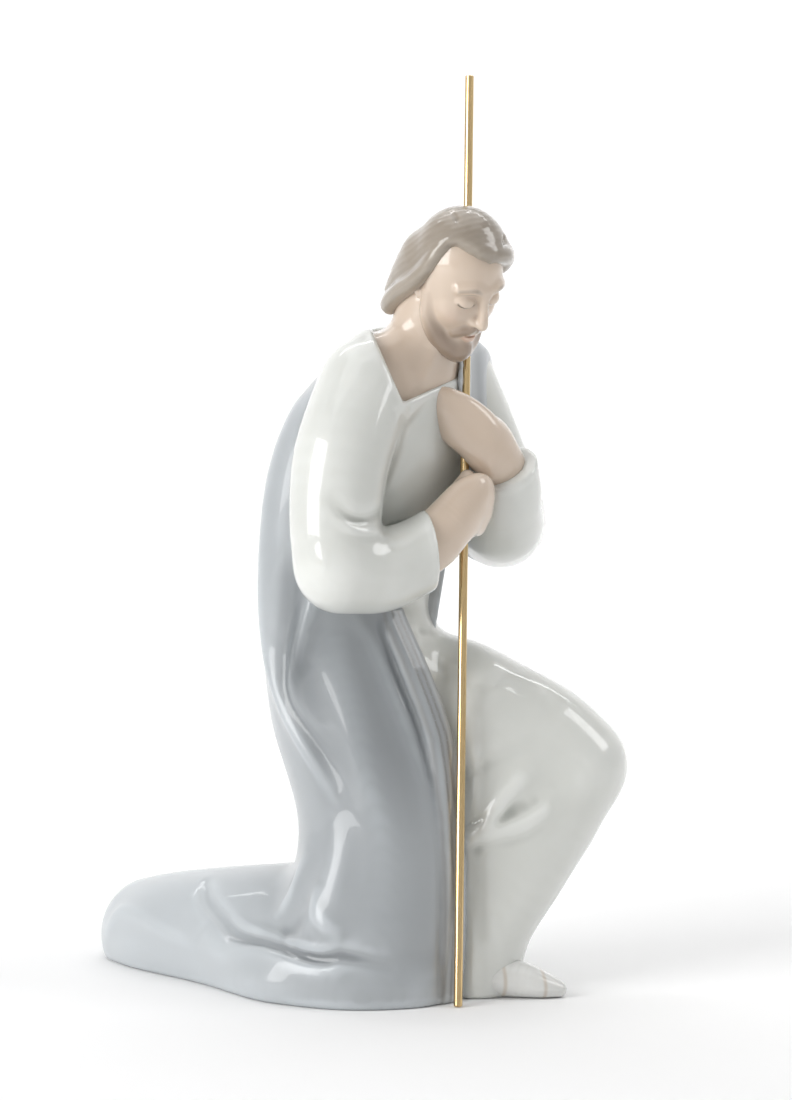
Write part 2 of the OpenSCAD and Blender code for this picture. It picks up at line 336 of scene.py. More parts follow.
def nets(values, low, pitch):
    """Surface nets: one vertex in each grid cell that the surface crosses."""
    n = np.array(values.shape) - 1
    inside = values < 0
    count = np.zeros(n, np.int8)
    for x, y, z in CORNERS:
        count += inside[x:x + n[0], y:y + n[1], z:z + n[2]]
    cells = np.argwhere((count > 0) & (count < 8))
    number = np.full(n, -1, np.int32)
    number[tuple(cells.T)] = np.arange(len(cells))
    value = np.stack([values[tuple((cells + c).T)] for c in CORNERS], 1)
    total = np.zeros((len(cells), 3))
    hits = np.zeros(len(cells))
    for i in range(8):
        for j in range(i + 1, 8):
            if np.abs(CORNERS[i] - CORNERS[j]).sum() != 1:
                continue
            a, b = value[:, i], value[:, j]
            crossed = (a < 0) != (b < 0)
            t = np.where(crossed, a / np.where(crossed, a - b, 1), 0)
            crossing = CORNERS[i] + t[:, None] * (CORNERS[j] - CORNERS[i])
            total[crossed] += crossing[crossed]
            hits[crossed] += 1
    points = low + pitch * (cells + total / hits[:, None])
    quads = []
    for axis in range(3):
        u, v = (axis + 1) % 3, (axis + 2) % 3
        here = np.take(inside, range(n[axis]), axis)
        there = np.take(inside, range(1, n[axis] + 1), axis)
        edge = np.argwhere(here != there)
        du, dv = np.eye(3, dtype=int)[u], np.eye(3, dtype=int)[v]
        quad = np.stack([number[tuple((edge - d).T)] for d in (du + dv, dv, 0 * du, du)], 1)
        outward = here[tuple(edge.T)]
        quad[~outward] = quad[~outward][:, ::-1]
        quads.append(quad)
    return points, np.concatenate(quads)


def neighbours(quads):
    """Every edge of the quads once, as two vertex numbers."""
    edges = np.concatenate([quads[:, [i, (i + 1) % 4]] for i in range(4)])
    return np.unique(np.sort(edges, 1), axis=0)


def mean_of_neighbours(values, edges):
    """The mean of each vertex's neighbours, for one value or several."""
    n = len(values)
    degree = np.maximum(np.bincount(edges.ravel(), minlength=n), 1)
    columns = []
    for c in np.atleast_2d(values.T):
        total = (np.bincount(edges[:, 0], c[edges[:, 1]], n)
                 + np.bincount(edges[:, 1], c[edges[:, 0]], n))
        columns.append(total / degree)
    out = np.stack(columns, -1)
    return out if values.ndim > 1 else out[:, 0]


def uphill(field, p, pitch):
    """The step that puts each point on the surface, and the surface's normal there."""
    g, f = gradient(field, p)
    steep = np.maximum(dot(g, g), 0.1)
    step = -np.clip(f / steep, -pitch, pitch)[:, None] * g
    return np.concatenate([step, g / np.sqrt(steep)[:, None]], 1)


def settle(field, points, quads, pitch, rounds=3, relax=0.6):
    """Even out the grid of quads and put every vertex on the surface."""
    edges = neighbours(quads)
    p = single(points)
    for turn in range(rounds):
        step = in_parts(lambda part: uphill(field, part, pitch), p)
        p = p + step[:, :3]
        if turn < rounds - 1:
            shift = mean_of_neighbours(p, edges) - p
            normal = step[:, 3:]
            shift -= dot(shift, normal)[:, None] * normal
            p = single(p + relax * shift)
    return p, edges


def hollowness(points, edges, quads, pitch, rounds=6):
    """How far each vertex lies in a hollow (above 0) or on a crest (below 0); the glazes darken the
    hollows with glaze pooling and painted shade, and lighten the crests with thinner glaze and a painted
    highlight.
    """
    a = points[quads[:, 2]] - points[quads[:, 0]]
    b = points[quads[:, 3]] - points[quads[:, 1]]
    face = np.cross(a, b)
    normal = np.zeros_like(points)
    for i in range(4):
        for c in range(3):
            normal[:, c] += np.bincount(quads[:, i], face[:, c], len(points))
    normal /= np.maximum(np.linalg.norm(normal, axis=1), 1e-9)[:, None]
    lift = mean_of_neighbours(points, edges) - points
    hollow = dot(lift, normal) / (pitch * pitch)
    for _ in range(rounds):
        hollow = 0.5 * hollow + 0.5 * mean_of_neighbours(hollow, edges)
    return hollow


def store(mesh, key, values):
    """Keep one number for each vertex, for the glazes to read."""
    layer = mesh.attributes.new(key, "FLOAT", "POINT")
    layer.data.foreach_set("value", single(values))


def linked(name, data):
    """A new object in the scene."""
    thing = bpy.data.objects.new(name, data)
    bpy.context.collection.objects.link(thing)
    return thing


def sculpt(name, field, low, high, pitch, material, nodes, paint=None):
    """One glazed piece: its mesh, its material and what it stands for."""
    values, origin = sample(field, low, high, pitch)
    points, quads = nets(values, origin, pitch)
    points, edges = settle(field, points, quads, pitch)
    hollow = hollowness(points, edges, quads, pitch)
    mesh = bpy.data.meshes.new(name)
    mesh.vertices.add(len(points))
    mesh.vertices.foreach_set("co", single(points * MM).ravel())
    mesh.loops.add(4 * len(quads))
    mesh.loops.foreach_set("vertex_index", quads.astype(np.int32).ravel())
    mesh.polygons.add(len(quads))
    mesh.polygons.foreach_set("loop_start", 4 * np.arange(len(quads), dtype=np.int32))
    mesh.update(calc_edges=True)
    mesh.shade_smooth()
    # how hollow each vertex lies; the glazes turn it into glaze pooling and painted shade in the hollows
    # and a painted highlight on the crests
    store(mesh, "hollow", hollow)
    for key, values in (paint(points) if paint else {}).items():
        store(mesh, key, values)
    mesh.materials.append(material)
    piece = linked(name, mesh)
    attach(piece, "figure")
    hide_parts(*nodes)


# ---------------------------------------------------------------- forms, in millimetres

# Body of the cloak: height, centre x, centre y, half breadth, half depth
CLOAK = levels([
    [0, 6, -11, 32, 27], [20, 7, -10.5, 31, 26.3], [46, 8.6, -8, 27, 24.3], [74, 3, -1.5, 29.5, 26],
    [98, 0, 4, 32, 24], [120, 1.3, 4, 33.3, 25.5], [144, 4, 3.2, 33.5, 25], [162, 8, 1.5, 32, 21.5],
    [173, 12, 0, 25, 17], [180, 14, -1.5, 14, 12.5]])
# The same for the chest under the tunic
TORSO = levels([
    [60, 6, -4, 25, 22], [80, 3.5, -1, 24, 22], [97, 2.5, 2, 21.5, 19.5], [107, 2.8, 2.2, 19.6, 17],
    [125, 5.5, 2, 23.5, 18.5], [145, 9.5, 0, 27, 19], [160, 12, -1, 28, 17.5], [172, 12.5, -3, 25, 16],
    [182, 13.5, -4, 17.5, 13]])
WALL = 2.8
SLAB_TOP = 3.02
CLOAK_TOP = 180
TUNIC_TOP = 183
TUNIC_FOOT = 62
WAIST = 98
BORDER_TOP = 107
CHEST_FOOT = 122
# How far the cloth and the head stand off the staff
CLOTH_GAP = 0.45
HEAD_GAP = 0.5
# Limbs: x, y, z, radius across and radius up, or one radius for both
TRAIN = [[2, -6.5, 12, 26, 24], [-16, 2.5, 10, 25, 22.5], [-34, 13, 8.5, 22.5, 21],
         [-50, 24, 7.5, 19.5, 18.5], [-59.5, 31.5, 6.5, 15.5, 16.5]]
# The roll of cloth along the ground in front of the train: x, y, z and radius
GROUND_ROLL = [[-47.6, 15.3, 4, 9.5], [-40, 4.6, 4, 10], [-32.7, -6.1, 4, 10.5], [-26, -16, 4, 10.5],
               [-18, -24.9, 4, 10.5], [-4, -29.5, 4, 10.5], [13, -29, 4, 10]]
RIGHT_UPPER_ARM = [[2.6, -18.5, 167.5, 13.4], [-4, -30, 149, 13.2], [-5.8, -34, 131, 12.4],
                   [-4.6, -34.5, 120.5, 12.1]]
RIGHT_FOREARM = [[-3.8, -34.5, 119.5, 12.1], [5, -31.5, 118.3, 11.5], [13, -28, 120.5, 10.6],
                 [19.5, -25.5, 123.5, 10.2], [27, -22.5, 128, 10]]
LEFT_UPPER_ARM = [[26, 13.5, 167.5, 12.5], [32.5, 18.5, 151, 12.8], [39, 18.5, 135, 12.3],
                  [40, 15, 128, 12.1]]
LEFT_FOREARM = [[40, 13.5, 127.5, 12], [40.3, 6, 128.5, 11.6], [40.2, 0.5, 132.5, 10.8],
                [40.8, -3.5, 138, 10], [40, -7.5, 146, 9.4], [38, -11, 152, 9]]
THIGH = [[12, 7, 78, 18], [24, 4.5, 78.5, 18.5], [38, 1.5, 74, 17], [52, -1.5, 68.5, 15.2],
         [60.5, -2.5, 61.5, 14.3]]
SHIN = [[59.8, -3, 60.5, 12.6], [55.6, -6, 49, 12.5], [47.5, -10.5, 35, 11.3], [38.2, -15.5, 20, 9.8],
        [34.6, -18, 5, 8.6]]
DRAPE = [[30, -4, 74, 18, 15], [39, -6.5, 56, 21, 14.5], [37, -9, 36, 19, 15],
         [32.5, -12, 16, 14, 14], [31.5, -13.5, -4, 12.5, 13.5]]
NECK = [[13, -1, 164, 16, 13], [15.5, -5, 172, 11.5, 11], [18.5, -9.5, 182, 9.8, 9.8],
        [21.5, -12.5, 191, 9.5, 9.5]]
# The middle roll of the front border: x, y, z and radius
BORDER = [[8, -17.5, 110, 2.0], [9.5, -18.5, 104, 2.2], [15.5, -21, 90, 2.4], [22, -23, 72, 2.5],
          [24.8, -25, 50, 2.5], [25.6, -28, 25, 2.6], [24.4, -30.5, -3, 2.6]]
# From one roll of the border to the next
BORDER_ACROSS = np.array([1.6, 1.2, 0])

# Folds that run up the cloak: height, bearing, angular width and rise
CLOAK_FOLDS = [
    # the pleat down the back
    [[165, -40, 10, 0.6], [140, -36, 10, 1.6], [110, -33, 9, 1.8], [92, -28, 8, 1.8],
     [80, -20, 6, 1.6], [70, -9, 6, 1.3], [60, 0, 8, 0.8], [48, 6, 10, 0]],
    # the recess beside it
    [[165, -14, 8, -0.3], [150, -10, 9, -1.8], [125, -5, 11, -2.9], [105, -6, 10, -3],
     [92, -12, 6, -2.2], [82, -14, 4, -1.4], [72, -1, 5, -0.8], [60, 10, 8, 0]],
    # the leaf-shaped fold in the recess
    [[114, 14, 4, 0.3], [108, 12, 5.6, 1.5], [100, 7, 6.4, 2], [92, 0, 5.6, 1.7], [86, -9, 4, 0.5],
     [83, -11, 4, 0]],
    # the broad ridge at the front and the flats beside it
    [[100, 33, 14, 0.3], [85, 31, 12, 1.0], [70, 30, 12, 1.4], [55, 30, 13, 1.4], [40, 34, 16, 0.8],
     [25, 38, 18, 0]],
    [[92, 12, 10, -0.4], [70, 10, 13, -0.9], [54, 8, 14, -0.3], [44, 8, 16, 0]],
    [[52, 4, 10, 0.1], [40, 2, 11, 1.4], [28, 0, 12, 1.8], [14, -2, 14, 0.4]],
    # soft folds down the back
    [[150, -76, 9, 0.2], [110, -74, 9, 1.2], [75, -70, 9, 1.2], [45, -66, 12, 0.2]],
    [[145, -108, 10, 0.2], [105, -110, 10, 1.3], [60, -112, 10, 1.3], [20, -114, 12, 0.4]],
    [[140, -144, 11, 0.2], [100, -147, 11, 1.3], [50, -150, 12, 1.2], [10, -152, 13, 0.5]],
    # the roll beside the border
    [[106, 40, 5, 0.3], [96, 52, 5, 0.7], [82, 58, 5, 0.9], [74, 61, 5, 0.9], [60, 66, 5, 0.8],
     [50, 67, 6, 0.6], [36, 67, 6, 0.5], [8, 67, 6, 0.3]],
    # the valley between them
    [[100, 42, 7, -0.3], [82, 48, 8, -0.7], [60, 55, 8, -0.6], [45, 57, 9, 0]],
]
CLOAK_FOLD_TABLES = [levels(rows) for rows in CLOAK_FOLDS]


def cloak_body(p):
    d, bearing = column(p, CLOAK)
    for rows in CLOAK_FOLD_TABLES:
        d = d - column_fold(p[:, 2], bearing, rows)
    return d


def cloak_train(p):
    return tube(p, TRAIN, steps=14)


def cloak_whole(p):
    d = join(cloak_body(p), cloak_train(p), 6)
    return join(d, rod(p, GROUND_ROLL, 6), 5)


cloak_shape = Smoothed(cloak_whole, (-80, -52, -6), (44, 54, 188), 1.6)


def leg_shape(p):
    d = join(tube(p, THIGH), tube(p, SHIN, BACK), 5)
    return join(d, tube(p, DRAPE, BACK), 5)


def tunic_body(p):
    d = common(common(column(p, TORSO)[0], p[:, 2] - TUNIC_TOP, 3), TUNIC_FOOT - p[:, 2], 3)
    d = join(d, tube(p, RIGHT_UPPER_ARM, FACING), 4)
    d = join(d, tube(p, LEFT_UPPER_ARM, FACING), 4)
    return join(d, leg_shape(p), 5)


tunic_core = Smoothed(tunic_body, (-26, -52, -6), (80, 36, 192), 1.8)


def forearm(p, rows, mouth, outward, width, depth):
    """A sleeve from the elbow to its cuff; the cuff's mouth is sunk to a width and a depth."""
    d = common(tube(p, rows, FACING, 10), half_space(p, mouth, outward), 0.9)
    along = single(unit(outward))
    o = p - single(mouth)
    t = o @ along
    across = np.linalg.norm(o - t[:, None] * along, axis=1)
    return cut(d, np.maximum(across - width, -t - depth), 0.8)


def torso_shape(p):
    right = forearm(p, RIGHT_FOREARM, (19.9, -26, 121.8), (0.96, 0.26, 0.1), 7, 2.5)
    left = forearm(p, LEFT_FOREARM, (40.2, -6.8, 144.6), (-0.3, -0.52, 0.8), 5.4, 1.2)
    return joined([tunic_core(p), right, left], 3.5)


# Folds of the train: x, y, z, width and rise
TRAIN_FOLDS = [
    [[-72.5, 23, 9.5, 2.5, 0.5], [-68.5, 20, 15, 3, 1.2], [-62.5, 12, 16, 3, 1.2],
     [-53, 0.5, 13, 3, 1], [-44, -7.5, 11, 3, 0.2]],
    [[-43.5, 5.5, 26, 2, -0.6], [-42.5, -2, 23, 2.2, -1.8], [-38, -9, 19.5, 2.2, -2.2],
     [-33, -15, 15.5, 2.2, -2.2], [-26.5, -20.5, 14, 2.2, -2], [-11.5, -36.5, 13.5, 2, -1.6],
     [-3.5, -40, 14.5, 2, -1.2], [7.5, -40.5, 12.5, 2, -0.3]],
    [[-39, -6, 21.5, 2.4, 0.4], [-35.5, -11.5, 18.5, 2.4, 1], [-28.5, -18.5, 16.5, 2.4, 1],
     [-18.5, -29.5, 16, 2, 0.8], [-7.5, -38.5, 15.5, 2, 0.2]],
    [[-43, -7.5, 15, 3.5, 0.6], [-39, -11.5, 12, 4, 1.6], [-31, -17.5, 9, 4.2, 1.8],
     [-20, -28.5, 10, 4, 1.6], [-7.5, -39, 11, 4, 0.4]],
    [[-14.5, -25.5, 42, 3.4, 0.3], [-17, -23, 34.5, 3, 1.1], [-19, -22.5, 28, 2.8, 1.3],
     [-22, -21, 22.5, 3, 0.5]],
    [[-9, -32, 33, 3, 0.1], [-10.5, -33, 27, 2.6, 0.9], [-8, -36, 22.5, 2.6, 0.7], [-3, -38, 20, 3, 0]],
    [[-13.5, -30, 26, 3.4, -0.5], [-16, -29, 22, 3.6, -1.2], [-20, -27, 19, 3.4, -0.8]],
]
# Folds of the tunic: at the knee, down the shin and at the waist, then at the elbow and on the chest
LEG_FOLDS = [
    [[30, -22, 44, 2, 0.8], [35, -22.5, 46.5, 2.2, 1.4], [38, -22, 51.5, 2.2, 1.3],
     [41.5, -21, 56.5, 2.4, 1], [46.5, -19.5, 61.5, 3, 0.2]],
    [[30, -22, 42.5, 2, 0.6], [36, -23, 45, 2.2, 1.4], [44.5, -22, 47, 2.4, 1.3],
     [50.5, -20, 50.5, 2.4, 0.8], [52, -19.5, 54, 2.4, 0.2]],
    [[39, -22, 49, 2.6, -0.3], [43, -21.5, 51.5, 3, -0.5], [47.5, -20.5, 53.5, 2.8, -0.2]],
    [[29.5, -19.5, 61, 4, -0.8], [36.5, -20, 63.5, 4, -0.9], [46, -18.5, 67.5, 4, -0.3]],
    [[32.5, -19, 76, 1.6, 0.2], [32.5, -20, 59.5, 1.8, 0.4], [33, -22.5, 43.5, 2, -0.3],
     [33, -25, 28, 2, -0.35], [34, -27, 18, 2, -0.2]],
    [[16, -14.5, 99, 1.8, -0.2], [19.5, -10, 100, 2, -0.7], [21, -6, 99.5, 2, -0.4]],
    [[15.5, -15, 102.5, 2, 0.4], [17, -13, 100, 2.2, 0.5], [20, -11, 93.5, 2.6, 0.4], [22, -13, 86, 3, 0]],
    [[20, -12, 97, 1.8, -0.3], [24, -13, 90, 2.2, -0.3], [26, -15, 82, 2.4, 0]],
]
SLEEVE_FOLDS = [
    [[-7, -46, 138.5, 2, -0.2], [-3, -45.5, 134.5, 1.8, -0.9], [1, -43.5, 132.8, 1.8, -1.2],
     [5, -36.5, 134, 2, -0.6]],
    [[-5, -46, 133.5, 1.6, 0.1], [-1.5, -44.8, 130.8, 1.6, 0.6], [3, -41, 129.5, 1.6, 0.5],
     [7, -37, 129.5, 1.6, 0]],
    [[1.5, -26, 158.5, 1.8, 0.1], [4, -24.4, 161.8, 1.7, 0.6], [9.4, -23.6, 161, 1.6, 0.7],
     [15, -23, 162, 1.6, 0.6], [20.4, -21, 165, 1.5, 0.1]],
]
# The neck of the tunic, as x and z on the display side: two slanting edges
NECKLINE = [(2.5, 186), (12.5, 163.5), (27.5, 169.5), (29.5, 186)]


def fixed(folds, field):
    """Folds as lines on the surface."""
    return [on_surface(field, rows) for rows in folds]


TRAIN_LINES = fixed(TRAIN_FOLDS, cloak_shape)
LEG_LINES = fixed(LEG_FOLDS, torso_shape)
SLEEVE_LINES = fixed(SLEEVE_FOLDS, torso_shape)


def raised(p, d, lines):
    """The field with folds raised on it."""
    for line in lines:
        d = d - fold(p, line)
    return d


def polygon_edges(p, points):
    """Distance outside a prism along the display direction; points go clockwise seen from the front."""
    d = np.full(len(p), -FAR, np.float32)
    for (x0, z0), (x1, z1) in zip(points[:-1], points[1:]):
        n = unit((z1 - z0, x0 - x1))
        d = np.maximum(d, (p[:, 0] - x0) * n[0] + (p[:, 2] - z0) * n[1])
    return d


def front_opening(p):
    """Where the tunic shows between the front edges of the cloak."""
    along_border = half_space(p, (9.5, -18.5, 104), (-0.92, 0.16, -0.36))
    above_border = half_space(p, (8, -20, WAIST), (-0.985, 0.174, 0))
    front = half_space(p, (24, -1, WAIST), (-0.2, 0.98, 0))
    side = half_space(p, (22.6, 0, 106), (-1, 0, 0.16))
    d = common(common(along_border, above_border, 3), np.minimum(front, side), 1)
    return common(d, 60 - p[:, 2], 4)


def upper_opening(p):
    """Where the chest and the left arm come out in front of the cloak."""
    chest = common(half_space(p, (-9, -5, 122), (-1, 0, 0)), half_space(p, (-9, -5, 122), (0, 1, 0)), 2)
    beside_cape = half_space(p, (32.6, -8, 166), (-0.98, 0.2, -0.03))
    before_back = half_space(p, (34, 17, 150), (-0.2, 0.98, 0))
    arm = common(beside_cape, before_back, 2)
    return common(np.minimum(chest, arm), CHEST_FOOT - p[:, 2], 3)


def inner_room(p):
    """The room inside the shells that the bisque slab closes."""
    d = single(p[:, 2] - SLAB_TOP)
    low = d < 3
    q = p[low]
    if len(q):
        room = np.minimum(column(q, CLOAK)[0], cloak_train(q))
        room = np.minimum(room, leg_shape(q)) + WALL
        d[low] = common(room, d[low], 0.3)
    return d


def border_rolls(p):
    """The three rolls of the border, side by side."""
    rolls = [[[*(np.array(r[:3]) + side * BORDER_ACROSS), r[3]] for r in BORDER] for side in (-1, 0, 1)]
    return joined([rod(p, rows, 5) for rows in rolls], 0.5)


def neck_opening(p):
    """Where the neck comes out of the clothes."""
    opening = common(polygon_edges(p, NECKLINE), p[:, 1] - 2, 1)
    return np.minimum(opening, tube(p, NECK, FACING, 8) - 0.5)


def shoulder_cape(p):
    """The cloak where it comes over the left shoulder beside the neck."""
    d = torso_shape(p) - 1.1
    d = common(d, half_space(p, (27.5, -10, 168), (-1, -0.2, -0.1)), 1)
    d = common(d, half_space(p, (33, -8, 166), (0.98, -0.2, 0.03)), 1.2)
    return common(d, half_space(p, (30, -10, 152), (0, -0.8, -0.6)), 2)


def trimmed(p, d):
    """Cloth cut away for the neck, the staff, the table and the room inside."""
    d = cut(d, neck_opening(p), 0.8)
    d = cut(d, staff_field(p) - CLOTH_GAP, 0.3)
    d = common(d, -p[:, 2], 1.2)
    return cut(d, inner_room(p), 0.3)


def cloak(p):
    d = raised(p, cloak_shape(p), TRAIN_LINES)
    d = cut(d, np.minimum(front_opening(p), upper_opening(p)), 1.2)
    d = common(d, p[:, 2] - CLOAK_TOP, 3)
    d = join(d, common(border_rolls(p), p[:, 2] - BORDER_TOP, 1), 1.5)
    return trimmed(p, join(d, shoulder_cape(p), 0.8))


def rounded_step(value, low, high):
    """Rises smoothly from 0 at low to 1 at high."""
    t = np.clip((value - low) / (high - low), 0, 1)
    return t * t * (3 - 2 * t)


def cloak_paint(points):
    """The wash in the grooves of the border, and painted shade on the front of the cloak and in the recess
    beside the pleat.
    """
    rows = np.array(BORDER)[::-1]
    middle = [np.interp(points[:, 2], rows[:, 2], rows[:, k]) for k in (0, 1)]
    across = unit(BORDER_ACROSS)
    east, north = points[:, 0] - middle[0], points[:, 1] - middle[1]
    aside = np.abs(east * across[0] + north * across[1])
    outward = east * across[1] - north * across[0]
    grooves = bump(aside - 1, 0.45) + 0.7 * bump(aside - 3.6, 0.8)
    height, bearing = points[:, 2], column(single(points), CLOAK)[1]
    # painted shade on the front of the cloak, and more of it in the recess beside the pleat
    front = rounded_step(bearing, -16, 2) * rounded_step(-bearing, -84, -64)
    front = front * rounded_step(height, 38, 72) * rounded_step(-height, -124, -112)
    recess = bump(bearing + 4 + 0.2 * (height - 95), 13) * rounded_step(height, 74, 88)
    recess = recess * rounded_step(-height, -128, -114)
    return {"wash": np.clip(grooves, 0, 1) * (outward > -2) * (height < BORDER_TOP + 1),
            "sprayed": np.clip(0.5 * front + 0.6 * recess, 0, 1)}


def tunic(p):
    return trimmed(p, raised(p, torso_shape(p), LEG_LINES + SLEEVE_LINES))


# Two tendons and the hollow between the collar bones
NECK_LINES = [smooth_line(rows) for rows in (
    [[10, -14, 186, 3, 0.3], [11.5, -16.5, 178, 2.6, 0.8], [15, -18, 170, 2.2, 0.7]],
    [[25, -19, 184, 2.6, 0.3], [22, -19, 177, 2.4, 0.7], [18, -18.5, 170, 2.2, 0.6]],
    [[16, -19, 169.5, 2.6, -0.7], [16.4, -19.5, 167.5, 2.4, -0.7]])]


def neck(p):
    """The neck, and the chest as far as it shows in the neckline."""
    chest = column(p, TORSO)[0] + 1.4
    chest = common(chest, p[:, 2] - 182, 4)
    chest = common(chest, 150 - p[:, 2], 4)
    chest = common(chest, np.abs(p[:, 0] - 15) - 17, 3)
    return raised(p, join(tube(p, NECK, FACING), chest, 4), NECK_LINES)


# ---------------------------------------------------------------- head, in its own frame
# There +X is the way the face looks, +Y its left and +Z its crown.
HEAD_AT = np.array([26.4, -16.8, 197.0])


def turned(axis, degrees):
    """A turn about one axis, as a matrix."""
    c, s = math.cos(math.radians(degrees)), math.sin(math.radians(degrees))
    i, j = (axis + 1) % 3, (axis + 2) % 3
    m = np.eye(3)
    m[i, i] = m[j, j] = c
    m[i, j], m[j, i] = -s, s
    return m


HEAD_TURN = turned(2, -46) @ turned(1, 36) @ turned(0, 8)


def in_head(p):
    """The points in the head's own frame."""
    return (p - single(HEAD_AT)) @ single(HEAD_TURN)


def halved(q):
    """Both sides of the face as one."""
    return np.stack([q[:, 0], np.abs(q[:, 1]), q[:, 2]], 1)


# Balls of the head: centre and radii. The ones from CHEEK on are there on both sides.
CRANIUM = [(-0.4, 0, 5), (12.8, 11.2, 12.2)]
JAW = [(2.4, 0, -5), (10.4, 9, 12.8)]
CHIN = [(8.6, 0, -13.6), (3.6, 4.2, 3.4)]
CHEEK = [(7.4, 5, -4.4), (3.8, 3.6, 3.6)]
EYE_SOCKET = [(14.6, 4.4, 0.6), (3.2, 2.9, 2.5)]
EYEBALL = [(9.7, 4.4, 0.5), (2.9, 2.9, 2.5)]
EYELID = [(9.8, 4.4, 0.5), (3.2, 3.1, 2.75)]
NOSE_WING = [(13.3, 1.6, -5), (1.5, 1.1, 1.1)]
NOSTRIL = [(14.6, 0.95, -6.3), (0.8, 0.5, 0.6)]
# Ridges of one side of the head: x, y, z and radius
NOSE = [[12.4, 0, 4, 1.2], [13.9, 0, 0.4, 1.2], [15.4, 0, -3.4, 1.45], [15.7, 0, -4.6, 1.55]]
BROW = [[12.4, 1.5, 4.4, 0.9], [12.2, 4.4, 5.4, 1.0], [10, 7.6, 4.4, 0.8]]
UPPER_LIP = [[11.4, 3.2, -9.7, 0.5], [12.9, 1.3, -9.1, 0.85], [13.1, 0, -9.3, 0.8]]
LOWER_LIP = [[11.4, 2.9, -10.1, 0.5], [12.9, 0.9, -10.8, 0.95], [13, 0, -10.8, 0.95]]
MOUTH_LINE = smooth_line([[10.9, 3.6, -9.9, 0.5, -0.3], [12.9, 1.4, -9.9, 0.4, -0.45],
                          [13.3, 0, -10, 0.4, -0.45]])
BEARD = [[1.5, 9.4, -2.5, 1.6], [3.6, 8.8, -8, 2.4], [7, 6.4, -13, 3.0], [10, 2.4, -15.8, 3.3],
         [10.6, 0, -16.2, 3.3]]
CHIN_TUFT = [[12, 0, -13.2, 1.6], [12.2, 0, -15.4, 2.4], [10.8, 0, -17.6, 2.6]]
MOUSTACHE = [[10.8, 4.2, -10.2, 0.8], [12.4, 2.9, -8.5, 0.95], [13.6, 1, -7.4, 0.95], [13.7, 0, -7.3, 0.8]]
# Painted on the face
LASHES = [[11.9, 2.3, 0.1, 0.34], [12.9, 4, -0.7, 0.36], [12.6, 5.6, -0.5, 0.36], [11.2, 7.1, 0.2, 0.3]]
BLUSH = [9.6, 6, -4.4]
BROW_PAINT = [[13, 2, 4.6, 0.4], [12.8, 4.6, 5.6, 0.5], [10.6, 7.8, 4.4, 0.35]]


def strands(q, across, count, depth):
    """Fine combed lines: the direction across them, their count and their depth."""
    wobble = 0.5 * np.sin(0.35 * q[:, 2] + 0.3 * q[:, 1]) + 0.3 * np.sin(0.9 * q[:, 1])
    return depth * np.sin(count * (q @ single(across) + 0.5 * wobble))


def beard(h):
    d = join(rod(h, BEARD), rod(h, CHIN_TUFT), 1.5)
    return join(d, rod(h, MOUSTACHE), 0.8)


def lips(h):
    return join(rod(h, UPPER_LIP), rod(h, LOWER_LIP), 0.3)


def head_shape(q):
    h = halved(q)
    d = join(ball(q, *CRANIUM), ball(q, *JAW), 6)
    d = join(d, ball(q, *CHIN), 4)
    d = join(d, ball(h, *CHEEK), 3)
    d = join(d, rod(h, BROW), 2.4)
    d = cut(d, ball(h, *EYE_SOCKET), 2.4)
    d = join(d, ball(h, *EYEBALL), 0.5)
    d = join(d, common(ball(h, *EYELID), -0.3 - h[:, 2], 0.3), 0.5)
    d = join(d, rod(h, NOSE), 1.6)
    d = join(d, ball(h, *NOSE_WING), 1.5)
    d = cut(d, ball(h, *NOSTRIL), 0.5)
    d = join(d, lips(h), 0.8) - fold(h, MOUTH_LINE)
    hairy = beard(h)
    combed = strands(h, (0.55, 0.6, 0.2), 7, 0.05) * (hairy < 0.6)
    return join(d, hairy + combed, 1.6)


# Ear, seen below the hair
EAR = [[-0.6, 10.4, 3, 1.2], [-2.6, 11.2, 1.6, 1.2], [-2.8, 11, -2, 1.1], [-0.6, 10.2, -4.6, 1.1]]
# The hair parts above the right temple: one roll frames the face on that side,
# the other crosses the forehead and falls on the left
ROLLS = [
    [[1, -5.2, 15.4, 1.3], [0.5, -7.6, 13.8, 1.6], [0.2, -10.2, 9.6, 1.9], [-0.6, -11.4, 4, 2.1],
     [-3, -11.6, -2, 2.4], [-6.6, -11, -8, 2.7], [-9.4, -9.8, -13.2, 2.8], [-10.8, -8.6, -17, 2.5]],
    [[-0.5, -5.4, 15.8, 1.3], [4.2, -5, 14.8, 1.7], [7.4, -2.2, 14.4, 1.9], [8.4, 2, 13.8, 2.3],
     [7, 7, 11.8, 2.8], [4, 10.4, 8.2, 3], [1, 11.8, 2.6, 2.8], [-3, 11.8, -4, 2.6],
     [-8, 10.4, -10, 2.7], [-12.4, 8.4, -15, 2.6]],
]
# The hair's fullness at the nape on both sides, and over the left temple
NAPE = [[-9.8, 4, 1, 6], [-11.6, 4.6, -6, 5], [-12.4, 5.4, -13, 4]]
LEFT_TEMPLE = [(1, 9, 8), (7, 5, 6)]
HAIR_DOME = [(-1, 0.6, 6), (13.6, 12.6, 14.3)]
HAIR_BACK = [(-6.5, 0, -5), (8.4, 10.8, 12)]
# Edge of the hair round the face, as bearing round the face and how far forward it comes
HAIRLINE_BEARING = [-70, -56, -37, -10, 22, 46, 59, 70, 90]
HAIRLINE_REACH = [-12, -9.6, -5.2, -1.8, 0, 1, 4.2, 7.8, 9.8]


def hair_window(h):
    """In front of the hairline."""
    bearing = np.degrees(np.arctan2(h[:, 2] - 4, h[:, 1]))
    return single(np.interp(bearing, HAIRLINE_BEARING, HAIRLINE_REACH)) - h[:, 0]


